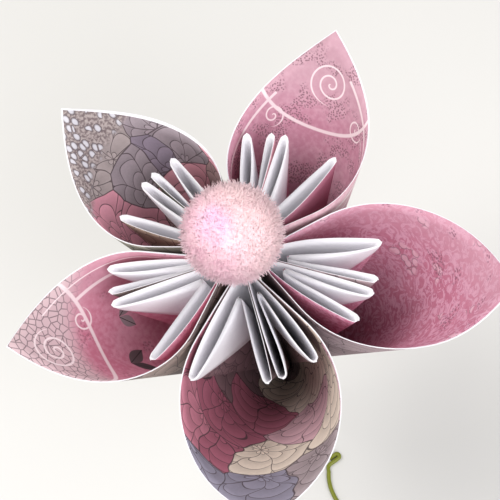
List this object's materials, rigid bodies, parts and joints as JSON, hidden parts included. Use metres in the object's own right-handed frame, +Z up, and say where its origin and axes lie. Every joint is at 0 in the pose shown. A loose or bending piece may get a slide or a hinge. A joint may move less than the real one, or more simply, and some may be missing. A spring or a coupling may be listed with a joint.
{
  "type": "folded paper flower",
  "caption": "Folded paper flower with patterned petals rolled into open cups, white inner loops, a fluffy pom-pom in the middle and a bent wire stem that stands as its own foot.",
  "frame": {"origin": "on the floor under the flower's axis, at the middle of the stem's foot", "axes": "+Z up along the flower's axis, from the stem to the pom-pom; -Y towards the viewer of the picture"},
  "size_m": [0.1112, 0.1143, 0.1382],
  "materials": {
    "petal_upper_right_paper": "matt printed paper, white on the other side",
    "petal_upper_left_paper": "matt printed paper, white on the other side",
    "petal_left_paper": "matt printed paper, white on the other side",
    "petal_front_paper": "matt printed paper, white on the other side",
    "petal_right_paper": "matt printed paper, white on the other side",
    "pom_pom_fluff": "fluffy cut fibre",
    "wire_green": "satin coated wire"
  },
  "bodies": {
    "root": {"petal_upper_right": "petal_upper_right_paper", "petal_upper_left": "petal_upper_left_paper", "petal_left": "petal_left_paper", "petal_front": "petal_front_paper", "petal_right": "petal_right_paper", "pom_pom": "pom_pom_fluff", "wire_stem": "wire_green"}
  },
  "joints": []
}
